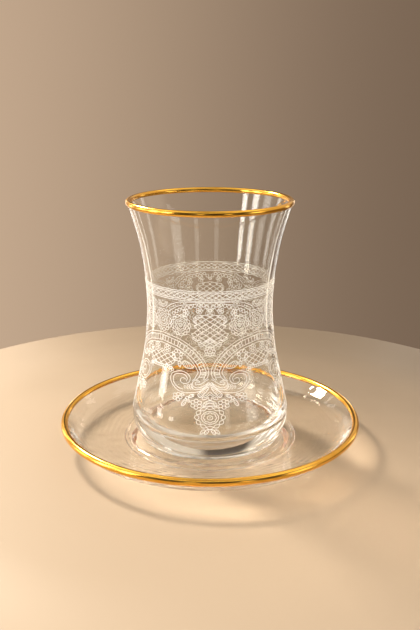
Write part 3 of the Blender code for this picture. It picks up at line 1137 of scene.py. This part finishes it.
for i in range(PENDANT_LOOPS):
    turn = 2 * math.pi * (i + 0.5) / PENDANT_LOOPS
    pendants.dot(about(PENDANT_CENTRE, PENDANT_DOT_REACH, turn, PENDANT_SQUASH), 0.7)
pendants.dot(PENDANT_CENTRE, 0.9)
for bottom_leaf in BOTTOM_LEAVES:
    leaf(pendants, *bottom_leaf)
printed("lace_pendants", pendants, REPEATS)

# Studio. A round, plain floor with painted shade that darkens it towards its far right, in a plain
# backdrop that is lighter on the left, with tall strips of window light, dimmer cards, a warm lamp
# behind, a ring of light overhead, and the camera at the photograph's angle. None of it belongs to
# the object.

FLOOR_RADIUS = 0.158
FLOOR_DEPTH = 0.03
FLOOR_GAP = 0.0001
FLOOR_BEVEL = 0.002
FLOOR_ROUGHNESS = 0.55
FLOOR_COLOUR = (0.47, 0.363, 0.262, 1.0)
# Painted shade: the floor's colour darkens to this towards its far right, with a cloudy edge.
FLOOR_SHADE_COLOUR = (0.21, 0.159, 0.113, 1.0)
FLOOR_FAR_DIRECTION = (0.6, 0.8, 0.0)
FLOOR_SHADE_FADE = (-0.03, 0.16)
FLOOR_CLOUD_SCALE = 30.0
FLOOR_CLOUD_REACH = 0.03

# Colours of the room, and where each fades in, by the direction in which the room is seen.
BACKDROP_LIGHT = (0.62, 0.445, 0.305, 1.0)
BACKDROP_DARK = (0.19, 0.129, 0.086, 1.0)
BACKDROP_X = (0.30, -0.45)
REFLECTOR_COLOUR = (0.74, 0.61, 0.46, 1.0)
REFLECTOR_Z = (0.14, 0.24)
FLAG_COLOUR = (0.085, 0.066, 0.05, 1.0)
FLAG_LEFT_TURN = (math.radians(-27), math.radians(-18))
FLAG_RIGHT_TURN = (math.radians(9), math.radians(0))
ROOM_BEHIND_CAMERA = (0.07, 0.062, 0.053, 1.0)
BEHIND_CAMERA_Y = (-0.10, -0.35)
RING_LIGHT = (1.4, 1.35, 1.2, 1.0)
RING_LOW_Z = (0.72, 0.78)
RING_HIGH_Z = (0.92, 0.86)

# Each strip: its name, degrees round from the front, width, bottom, top and radiance. Each lamp:
# its name, place, target, width and height, watts, colour and shape.
WINDOW_WHITE = (1.0, 0.95, 0.87)
STRIP_DISTANCE = 0.60
STRIP_LAMPS = (
    ("window_1", -59, 0.08, 0.05, 0.40, 11.0),
    ("window_2", -79, 0.11, -0.02, 0.40, 9.0),
    ("window_3", -102, 0.15, -0.02, 0.30, 2.4),
    ("window_4", -130, 0.08, -0.02, 0.24, 3.2),
    ("edge_left", -157, 0.045, -0.15, 0.16, 2.6),
    ("edge_right", 157, 0.045, -0.15, 0.16, 2.6),
    ("card_1", 125, 0.08, -0.02, 0.24, 1.8),
    ("card_2", 64, 0.20, -0.02, 0.30, 2.0),
    ("card_3", 25, 0.07, -0.02, 0.30, 1.4),
    ("card_4", -12, 0.08, -0.02, 0.30, 1.2),
)
KEY_LAMP = ("key", (-0.38, 0.42, 0.50), (0, 0, 0.03), (0.12, 0.12), 5.6, (1.0, 0.87, 0.70),
            "DISK")
FILL_LAMP = ("fill", (-0.15, -0.90, 0.25), (0, 0, 0.05), (0.6, 0.4), 6.4, (1.0, 0.95, 0.89))

CAMERA_DISTANCE = 0.30648
CAMERA_HEIGHT = 0.141
CAMERA_PITCH = math.radians(16.36)
CAMERA_LENS = 47.75
CAMERA_CLIP_START = 0.01
SENSOR_LONG_SIDE = 36.0
MAX_BOUNCES = 64
MAX_TRANSPARENT_BOUNCES = 32


def fade(tree, value, limits):
    """A mask that goes smoothly from 0 to 1 as a value goes from the first limit to the second."""
    return mapped(tree, value, limits, interpolation_type="SMOOTHSTEP")


def floor_material():
    material, tree, shader = new_material("studio floor")
    place = add_node(tree, "ShaderNodeTexCoord").outputs["Object"]
    cloud = noise(tree, place, FLOOR_CLOUD_SCALE, 4.0)
    # Painted shade: a darker colour towards the far right of the floor, its edge wandering with the
    # cloud noise.
    far = dot_product(tree, place, FLOOR_FAR_DIRECTION)
    clouded = number(tree, "MULTIPLY_ADD", cloud, FLOOR_CLOUD_REACH, far)
    shade = fade(tree, clouded, FLOOR_SHADE_FADE)
    set_inputs(shader, {
        "Base Color": blended(tree, shade, FLOOR_COLOUR, FLOOR_SHADE_COLOUR),
        "Roughness": FLOOR_ROUGHNESS,
    })
    return material


floor_bevel_start = FLOOR_RADIUS - FLOOR_BEVEL
studio_floor = turned("studio_floor", [
    (0.0, -FLOOR_GAP), (0.05, -FLOOR_GAP), (0.1, -FLOOR_GAP), (floor_bevel_start, -FLOOR_GAP),
    (FLOOR_RADIUS, -FLOOR_BEVEL - FLOOR_GAP), (FLOOR_RADIUS, -FLOOR_DEPTH - FLOOR_GAP),
    (0.0, -FLOOR_DEPTH - FLOOR_GAP),
])
studio_floor.data.materials.append(floor_material())

world = bpy.data.worlds.new("studio")
world.use_nodes = True
sky = world.node_tree
seen = add_node(sky, "ShaderNodeTexCoord")
towards = add_node(sky, "ShaderNodeSeparateXYZ", {"Vector": seen.outputs["Generated"]}).outputs
turn_right = number(sky, "ARCTAN2", towards["X"], towards["Y"])
overhead = fade(sky, towards["Z"], REFLECTOR_Z)
flag_sides = number(
    sky, "MULTIPLY", fade(sky, turn_right, FLAG_LEFT_TURN), fade(sky, turn_right, FLAG_RIGHT_TURN)
)
flag = number(sky, "MULTIPLY", overhead, flag_sides)
ring_of_light = number(
    sky, "MULTIPLY", fade(sky, towards["Z"], RING_LOW_Z), fade(sky, towards["Z"], RING_HIGH_Z)
)
room = BACKDROP_DARK
for mask, colour in (
    (fade(sky, towards["X"], BACKDROP_X), BACKDROP_LIGHT),
    (overhead, REFLECTOR_COLOUR),
    (flag, FLAG_COLOUR),
    (fade(sky, towards["Y"], BEHIND_CAMERA_Y), ROOM_BEHIND_CAMERA),
    (ring_of_light, RING_LIGHT),
):
    room = blended(sky, mask, room, colour)
set_inputs(sky.nodes["Background"], {"Color": room})
bpy.context.scene.world = world


def area_light(name, place, target, size, power, colour, shape="RECTANGLE"):
    """A lamp at place, facing target. size is (width, height) in metres."""
    data = bpy.data.lights.new(name, "AREA")
    data.shape = shape
    data.size, data.size_y = size
    data.energy = power
    data.color = colour
    lamp = added(name, data)
    lamp.location = place
    towards_target = Vector(target) - Vector(place)
    lamp.rotation_mode = "QUATERNION"
    lamp.rotation_quaternion = towards_target.to_track_quat("-Z", "Y")
    lamp.visible_camera = False
    return lamp


for name, turn, width, bottom, top, radiance in STRIP_LAMPS:
    right = STRIP_DISTANCE * math.sin(math.radians(turn))
    forward = -STRIP_DISTANCE * math.cos(math.radians(turn))
    middle = (top + bottom) / 2
    height = top - bottom
    power = radiance * math.pi * width * height
    area_light(
        name, (right, forward, middle), (0.0, 0.0, middle), (width, height), power, WINDOW_WHITE
    )
area_light(*KEY_LAMP)
fill = area_light(*FILL_LAMP)
fill.visible_glossy = False
fill.visible_transmission = False

camera_data = bpy.data.cameras.new("camera")
camera_data.lens = CAMERA_LENS
camera_data.sensor_width = SENSOR_LONG_SIDE
camera_data.clip_start = CAMERA_CLIP_START
camera = added("camera", camera_data)
camera.location = (0.0, -CAMERA_DISTANCE, CAMERA_HEIGHT)
camera.rotation_euler = (math.pi / 2 - CAMERA_PITCH, 0.0, 0.0)
bpy.context.scene.camera = camera

cycles = bpy.context.scene.cycles
cycles.max_bounces = MAX_BOUNCES
cycles.transmission_bounces = MAX_BOUNCES
cycles.glossy_bounces = MAX_BOUNCES
cycles.transparent_max_bounces = MAX_TRANSPARENT_BOUNCES
bpy.context.scene.view_settings.view_transform = "Standard"
